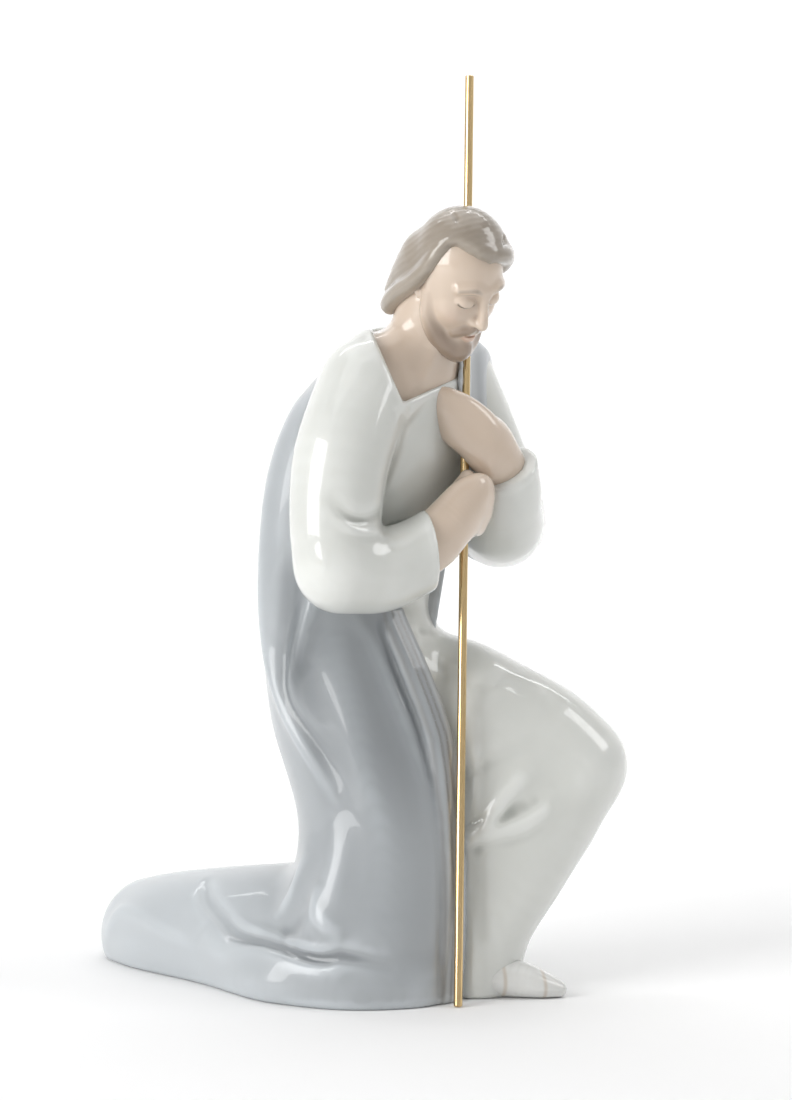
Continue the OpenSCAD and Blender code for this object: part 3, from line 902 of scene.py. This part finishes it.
def hair_shape(q):
    h = halved(q)
    d = join(ball(q, *HAIR_DOME), ball(q, *HAIR_BACK), 6)
    d = join(d, rod(h, NAPE, 5), 4)
    d = cut(d, hair_window(h), 1.2)
    d = join(d, ball(q, *LEFT_TEMPLE), 2.5)
    for rows in ROLLS:
        d = join(d, rod(q, rows, 6), 1.8)
    return d


PARTING = smooth_line([[1, -5.6, 16.6, 0.8, -0.6], [-4, -4.6, 18.4, 0.8, -0.5],
                       [-10, -3.4, 17, 0.8, -0.1]])


def hair(p):
    q = in_head(p)
    h = halved(q)
    d = hair_shape(q)
    d = d - fold(q, PARTING) + strands(h, (0.88, 0.1, -0.47), 3.6, 0.03)
    d = cut(d, head_shape(q) + 0.5, 0.2)
    d = common(d, half_space(q, (0, 0, -21), (-0.25, 0, -1)), 1.5)
    return cut(d, staff_field(p) - HEAD_GAP, 0.3)


def head(p):
    q = in_head(p)
    d = join(head_shape(q), rod(halved(q), EAR), 0.8)
    return cut(d, staff_field(p) - HEAD_GAP, 0.3)


def soft_step(d, width):
    """Paint: 1 inside a field, 0 outside, with a soft edge."""
    return np.clip(0.5 - d / width, 0, 1)


def head_paint(points):
    h = halved(in_head(single(points)))
    # the brown of the beard is full on the chin and thins out up the jaw
    hairy = soft_step(beard(h) - 0.7, 1.8) * (0.3 + 0.7 * rounded_step(h[:, 0], 3, 9.5))
    red = soft_step(lips(h) - 0.1, 0.5)
    blush = bump(np.linalg.norm(h - single(BLUSH), axis=1), 3.2)
    lines = np.maximum(soft_step(rod(h, LASHES, 6), 0.4), 0.75 * soft_step(rod(h, BROW_PAINT, 6), 0.7))
    return {"hairy": hairy * (1 - 0.85 * red), "blush": np.maximum(0.5 * blush, red), "lines": lines}


# ---------------------------------------------------------------- staff, hands and shoe

STAFF_RADIUS = 1.2
STAFF_JOINT = next(j for j in frame["record"]["behaviour"]["joints"] if j["name"] == "staff_slide")
STAFF_UP = unit(STAFF_JOINT["axis"])
STAFF_BOX = [np.array(corner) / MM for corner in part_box("staff")]
STAFF_MIDDLE = (STAFF_BOX[0] + STAFF_BOX[1]) / 2
STAFF_RISE = STAFF_RADIUS * math.hypot(STAFF_UP[0], STAFF_UP[1])
STAFF_HALF = ((STAFF_BOX[1] - STAFF_BOX[0])[2] / 2 - STAFF_RISE) / STAFF_UP[2]
BORE_GAP = 0.08


def staff_field(p):
    """Distance from the skin of an endless staff."""
    o = p - single(STAFF_MIDDLE)
    along = single(STAFF_UP)
    o = o - (o @ along)[:, None] * along
    return np.linalg.norm(o, axis=1) - STAFF_RADIUS


# A finger runs from the wrist over the back of the hand to its tip: x, y, z and radius
RIGHT_WRIST = [12.5, -28, 120.2]
RIGHT_FINGERS = [
    [[23, -24.4, 132.6, 4.2], [28.2, -22.4, 139, 3.2], [32.6, -20.6, 141.4, 2.6],
     [34.6, -16.6, 140.6, 2.2], [32, -13.4, 139.4, 1.9]],
    [[23.6, -24.6, 129.6, 4.4], [29, -22.6, 135.6, 3.3], [33.2, -20.4, 138, 2.7],
     [35, -16.2, 136.8, 2.3], [32.4, -12.9, 135.4, 2]],
    [[23, -24.6, 126.4, 4.4], [28.6, -22.6, 131.6, 3.3], [32.4, -20.2, 133.6, 2.7],
     [34.4, -15.8, 132.4, 2.3], [32, -12.7, 131, 2]],
    [[21.6, -24.6, 122.4, 4.2], [26.8, -22.6, 127, 3.1], [30.6, -20, 129, 2.5],
     [32.6, -15.8, 128.4, 2.1], [30.6, -13, 127.5, 1.8]]]
RIGHT_THUMB = [[18, -24, 125, 3.4], [22, -21, 131, 3], [26, -18, 137, 2.6], [30, -15.5, 142.5, 2.1]]
LEFT_WRIST = [42.1, -2.5, 140.6]
LEFT_FINGERS = [
    [[37.4, -11, 153.8, 3.6], [32, -13.8, 160.4, 2.9], [26, -14.8, 164.2, 2.4], [21.5, -14, 165.6, 1.9]],
    [[36.6, -11.8, 150.8, 3.8], [30.8, -14.2, 157, 3], [25, -15, 161.2, 2.5], [20.5, -14, 163.2, 2]],
    [[36, -11.8, 147.8, 3.8], [30, -14.2, 153.6, 2.9], [25, -14.6, 157.5, 2.4], [21.3, -13.5, 159.8, 2]],
    [[36, -11, 145, 3.4], [30.4, -13.8, 150.2, 2.6], [26, -14, 153.2, 2.2], [23, -13, 155.2, 1.8]]]
LEFT_THUMB = [[40.5, -6.5, 149.5, 3.2], [38, -9, 155, 2.9], [33.5, -6.5, 159, 2.5], [29, -5.5, 162.5, 2]]


def hand(p, wrist, fingers, thumb):
    """Four fingers that spread a little from the wrist, and a thumb, closed round the staff."""
    middle = np.mean([rows[0] for rows in fingers], 0)
    strips = []
    for rows in fingers:
        start = [a + 0.3 * (b - c) for a, b, c in zip(wrist, rows[0], middle)]
        strips.append(rod(p, [[*start, 5]] + rows, 6))
    d = joined(strips, 4)
    d = join(d, rod(p, [[*wrist, 4.2]] + thumb, 6), 2.4)
    return cut(d, staff_field(p) - BORE_GAP, 0.15)


def right_hand(p):
    return hand(p, RIGHT_WRIST, RIGHT_FINGERS, RIGHT_THUMB)


def left_hand(p):
    return hand(p, LEFT_WRIST, LEFT_FINGERS, LEFT_THUMB)


# The shoe: x, y, z, radius across and radius up; then the groove above its sole
SHOE = [[36, -20, 5, 7, 5.8], [45, -22.5, 4.4, 6, 5], [51, -23.6, 3.1, 4.6, 3.6],
        [55, -24.2, 2.3, 2.6, 2.4]]
SOLE = smooth_line([[34, -26.5, 1.5, 0.5, -0.25], [45, -29, 1.5, 0.5, -0.25],
                    [56, -26.5, 1.5, 0.5, -0.25], [58, -24, 1.5, 0.5, -0.25]])


def shoe(p):
    return common(tube(p, SHOE) - fold(p, SOLE), -p[:, 2], 0.8)


def shoe_paint(points):
    """The two straps, painted across the instep."""
    along = points[:, 0] + 0.25 * (points[:, 1] + 22)
    return {"lines": np.maximum(bump(along - 39, 0.55), bump(along - 50, 0.55))}


# ---------------------------------------------------------------- materials

def set_inputs(n, values):
    for key, value in values.items():
        n.inputs[key].default_value = value


def node(tree, kind, vector, **inputs):
    """A new node with its inputs set, fed with a vector."""
    n = tree.nodes.new(kind)
    set_inputs(n, inputs)
    tree.links.new(vector, n.inputs["Vector"])
    return n


def object_place(tree):
    return tree.nodes.new("ShaderNodeTexCoord").outputs["Object"]


def mixed(tree, factor, a, b):
    """A colour mix; a and b are colours or sockets."""
    n = tree.nodes.new("ShaderNodeMix")
    n.data_type = "RGBA"
    tree.links.new(factor, n.inputs[0])
    for socket, value in ((n.inputs[6], a), (n.inputs[7], b)):
        if isinstance(value, bpy.types.NodeSocket):
            tree.links.new(value, socket)
        else:
            socket.default_value = (*value, 1)
    return n.outputs[2]


def ranged(tree, value, low, high, to_low=0.0, to_high=1.0):
    """The value taken smoothly from one range to another."""
    n = tree.nodes.new("ShaderNodeMapRange")
    n.interpolation_type = "SMOOTHSTEP"
    tree.links.new(value, n.inputs["Value"])
    set_inputs(n, {"From Min": low, "From Max": high, "To Min": to_low, "To Max": to_high})
    return n.outputs["Result"]


def attribute(tree, name):
    """What the mesh keeps under this name."""
    n = tree.nodes.new("ShaderNodeAttribute")
    n.attribute_name = name
    return n.outputs["Fac"]


def axis_value(tree, coordinate, axis):
    n = tree.nodes.new("ShaderNodeSeparateXYZ")
    tree.links.new(coordinate, n.inputs[0])
    return n.outputs[axis]


def material(name, roughness, coat=0.0, metallic=0.0, soft=0.0):
    """A new material: soft is how far light goes into it, coat is the glass of the glaze."""
    m = bpy.data.materials.new(name)
    m.use_nodes = True
    tree = m.node_tree
    shader = tree.nodes["Principled BSDF"]
    set_inputs(shader, {
        "Roughness": roughness, "Metallic": metallic, "Coat Weight": coat, "Coat Roughness": 0.03,
        "Subsurface Weight": soft, "Subsurface Scale": 0.002, "Subsurface Radius": (1.0, 0.9, 0.8)})
    return m, tree, shader


def glaze(name, crest, base, pool, soft=0.15, fineness=1.0, coat=1.0):
    """Glazed porcelain: darker in the hollows, as glaze pooling and painted shade, and lighter on the
    crests, as thinner glaze and a painted highlight.
    """
    m, tree, shader = material(name, 0.35, coat=coat, soft=soft)
    cloud = node(tree, "ShaderNodeTexNoise", object_place(tree), Scale=45.0, Detail=2.0)
    hollow = attribute(tree, "hollow")
    # the crests lighter: thinner glaze and a painted highlight
    colour = mixed(tree, ranged(tree, hollow, 0.0, -0.035 * fineness), base, crest)
    # the hollows darker towards pool: glaze pooling and painted shade
    colour = mixed(tree, ranged(tree, hollow, 0.005 * fineness, 0.06 * fineness), colour, pool)
    tint = ranged(tree, cloud.outputs["Fac"], 0.3, 0.7, 0.0, 0.35)
    colour = mixed(tree, tint, colour, tuple(0.93 * c for c in base))
    return m, tree, shader, colour


def coloured(m, tree, shader, colour):
    """The material once its colour is set."""
    tree.links.new(colour, shader.inputs["Base Color"])
    return m


def tinted(tree, colour, name, strength, tint):
    """The colour with paint over it, where the mesh keeps this name."""
    return mixed(tree, ranged(tree, attribute(tree, name), 0, 1, 0, strength), colour, tint)


def cloak_glaze():
    m, tree, shader, colour = glaze("cloak_glaze", (0.48, 0.51, 0.53), (0.355, 0.375, 0.39),
                                    (0.19, 0.205, 0.215), coat=0.55)
    # lighter towards the train and down the back: partly a thinner grey glaze and partly painted light
    train = ranged(tree, axis_value(tree, object_place(tree), 0), -0.012, -0.045, 0.0, 0.7)
    colour = mixed(tree, train, colour, (0.51, 0.54, 0.56))
    # painted shade on the front of the cloak and in the recess beside the pleat
    colour = mixed(tree, attribute(tree, "sprayed"), colour, (0.185, 0.20, 0.21))
    colour = tinted(tree, colour, "wash", 0.6, (0.19, 0.18, 0.165))
    return coloured(m, tree, shader, colour)


def tunic_glaze():
    return coloured(*glaze("tunic_glaze", (0.73, 0.74, 0.71), (0.645, 0.655, 0.62), (0.35, 0.36, 0.33)))


def skin_glaze():
    m, tree, shader, colour = glaze("skin_glaze", (0.72, 0.62, 0.52), (0.65, 0.53, 0.425),
                                    (0.44, 0.32, 0.235), soft=0.25, fineness=11)
    colour = tinted(tree, colour, "blush", 0.55, (0.60, 0.36, 0.27))
    colour = tinted(tree, colour, "hairy", 0.85, (0.235, 0.165, 0.115))
    colour = mixed(tree, attribute(tree, "lines"), colour, (0.075, 0.05, 0.035))
    return coloured(m, tree, shader, colour)


def shoe_glaze():
    m, tree, shader, colour = glaze("shoe_glaze", (0.72, 0.72, 0.70), (0.63, 0.635, 0.61),
                                    (0.40, 0.385, 0.35))
    colour = tinted(tree, colour, "lines", 0.6, (0.50, 0.42, 0.33))
    return coloured(m, tree, shader, colour)


def hair_glaze():
    return coloured(*glaze("hair_glaze", (0.38, 0.33, 0.27), (0.30, 0.255, 0.205), (0.15, 0.12, 0.09),
                           soft=0.1, fineness=5))


def bisque():
    m, tree, shader = material("bisque", 0.7)
    grain = node(tree, "ShaderNodeTexNoise", object_place(tree), Scale=900.0, Detail=3.0)
    colour = mixed(tree, grain.outputs["Fac"], (0.72, 0.69, 0.64), (0.82, 0.80, 0.76))
    return coloured(m, tree, shader, colour)


def brass():
    m, tree, shader = material("gilt_brass", 0.12, metallic=1.0)
    stretch = node(tree, "ShaderNodeMapping", object_place(tree), Scale=(1, 1, 0.04))
    drawn = node(tree, "ShaderNodeTexNoise", stretch.outputs["Vector"], Scale=2500.0, Detail=2.0)
    colour = mixed(tree, drawn.outputs["Fac"], (0.74, 0.53, 0.26), (0.82, 0.61, 0.33))
    tree.links.new(ranged(tree, drawn.outputs["Fac"], 0.3, 0.7, 0.10, 0.18), shader.inputs["Roughness"])
    return coloured(m, tree, shader, colour)


# ---------------------------------------------------------------- the pieces

sculpt("cloak", cloak, (-78, -50, -2), (52, 52, 186), 0.8, cloak_glaze(),
       ("cloak_skirt", "cloak_train", "cloak_back", "cloak_border"),
       paint=cloak_paint)
sculpt("tunic", tunic, (-24, -50, -2), (78, 34, 188), 0.8, tunic_glaze(),
       ("torso", "right_sleeve", "left_sleeve", "tunic_thigh", "tunic_lower"))
SKIN = skin_glaze()
sculpt("neck_and_chest", neck, (-14, -40, 146), (46, 34, 206), 0.5, SKIN, ("neck",))
sculpt("head", head, (2, -46, 170), (54, 12, 224), 0.36, SKIN, ("head",), paint=head_paint)
sculpt("hair", hair, (-8, -46, 170), (56, 16, 226), 0.4, hair_glaze(), ("hair",))
sculpt("right_hand", right_hand, (2, -36, 112), (44, -8, 150), 0.36, SKIN, ("right_hand",))
sculpt("left_hand", left_hand, (14, -24, 130), (52, 8, 174), 0.36, SKIN, ("left_hand",))
sculpt("shoe", shoe, (26, -34, -2), (62, -12, 14), 0.45, shoe_glaze(), ("left_foot",),
       paint=shoe_paint)


def ring_quads(rings, around, first=0):
    """The quads between rings of points that follow one another."""
    quads = []
    for inner in range(first, first + (rings - 1) * around, around):
        for k in range(around):
            n = (k + 1) % around
            quads.append((inner + k, inner + n, inner + around + n, inner + around + k))
    return quads


def turned_rod():
    """The staff: a drawn rod with its two ends lightly broken."""
    bevel = 0.18
    around = 64
    straight = np.linspace(-STAFF_HALF + bevel, STAFF_HALF - bevel, 60)
    profile = [(-STAFF_HALF, STAFF_RADIUS - bevel)]
    profile += [(along, STAFF_RADIUS) for along in straight]
    profile += [(STAFF_HALF, STAFF_RADIUS - bevel)]
    u = unit(np.cross(STAFF_UP, BACK))
    v = np.cross(STAFF_UP, u)
    points = []
    for along, radius in profile:
        for k in range(around):
            a = 2 * math.pi * k / around
            points.append(STAFF_MIDDLE + STAFF_UP * along + radius * (u * math.cos(a) + v * math.sin(a)))
    faces = ring_quads(len(profile), around)
    faces.append(tuple(range(around))[::-1])
    faces.append(tuple(range(len(points) - around, len(points))))
    mesh = bpy.data.meshes.new("staff_rod")
    mesh.from_pydata([tuple(q * MM) for q in points], [], faces)
    mesh.update()
    mesh.shade_smooth()
    mesh.set_sharp_from_angle(angle=math.radians(30))
    mesh.materials.append(brass())
    piece = linked("staff_rod", mesh)
    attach(piece, "staff")
    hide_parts("staff")


turned_rod()

slab = frame["nodes"]["base_slab"]
slab.data.materials.clear()
slab.data.materials.append(bisque())


# ---------------------------------------------------------------- stage, light and camera

def paper():
    m, tree, shader = material("floor_paper", 0.8)
    grain = node(tree, "ShaderNodeTexNoise", object_place(tree), Scale=6.0)
    shader.inputs["Specular IOR Level"].default_value = 0.1
    colour = mixed(tree, grain.outputs["Fac"], (0.88, 0.88, 0.88), (0.90, 0.90, 0.90))
    return coloured(m, tree, shader, colour)


def stage_floor():
    """A pale sweep: flat under the figurine, rising softly far away on every side."""
    flat, rise, top = 1.7, 0.8, 3.0
    rings, bends, around = 6, 12, 72
    rows = [(flat * k / rings, 0.0) for k in range(1, rings + 1)]
    for k in range(1, bends + 1):
        a = math.pi / 2 * k / bends
        rows.append((flat + rise * math.sin(a), rise * (1 - math.cos(a))))
    rows.append((flat + rise, top))
    turn = [2 * math.pi * k / around for k in range(around)]
    points = [(0.0, 0.0, 0.0)] + [(r * math.cos(a), r * math.sin(a), z) for r, z in rows for a in turn]
    faces = [(0, 1 + k, 1 + (k + 1) % around) for k in range(around)]
    faces += [quad[::-1] for quad in ring_quads(len(rows), around, 1)]
    mesh = bpy.data.meshes.new("floor")
    mesh.from_pydata(points, [], faces)
    mesh.shade_smooth()
    mesh.materials.append(paper())
    floor = linked("floor", mesh)


def soft_box(name, source, target, width, height, power):
    """A rectangle of light, turned towards its target."""
    data = bpy.data.lights.new(name, "AREA")
    data.shape = "RECTANGLE"
    data.size = width
    data.size_y = height
    data.energy = power
    light = linked(name, data)
    light.location = source
    light.rotation_euler = (Vector(target) - Vector(source)).to_track_quat("-Z", "Y").to_euler()


stage_floor()
MIDDLE = (0.0, 0.0, 0.12)
FOOT = (0.0, 0.0, 0.0)
soft_box("key", (-0.9, -0.62, 0.5), MIDDLE, 0.7, 0.85, 10)
soft_box("side", (0.85, -0.1, 0.75), MIDDLE, 0.4, 0.5, 2.4)
soft_box("top", (0.0, 0.15, 1.1), FOOT, 1.2, 1.2, 4.6)
soft_box("backdrop", (0.0, 0.9, 1.6), (0, 2.4, 0.3), 2.4, 0.8, 30)
soft_box("bounce", (0.0, -0.9, 1.6), (0, -2.4, 0.5), 2.4, 0.8, 4)

world = bpy.data.worlds.new("studio")
world.use_nodes = True
set_inputs(world.node_tree.nodes["Background"], {"Color": (1, 1, 1, 1), "Strength": 0.16})
bpy.context.scene.world = world
bpy.context.scene.view_settings.view_transform = "Standard"
bpy.context.scene.view_settings.look = "None"

CAMERA_PLACE = (0.0105, -0.990, 0.210)
CAMERA_DIP = math.radians(5.13)
SENSOR = 36
LENS = 116.87
camera_data = bpy.data.cameras.new("camera")
camera_data.sensor_fit = "AUTO"
camera_data.sensor_width = SENSOR
camera_data.lens = LENS
camera_data.clip_start = 0.01
camera = linked("camera", camera_data)
camera.location = CAMERA_PLACE
camera.rotation_euler = (math.pi / 2 - CAMERA_DIP, 0, 0)
bpy.context.scene.camera = camera
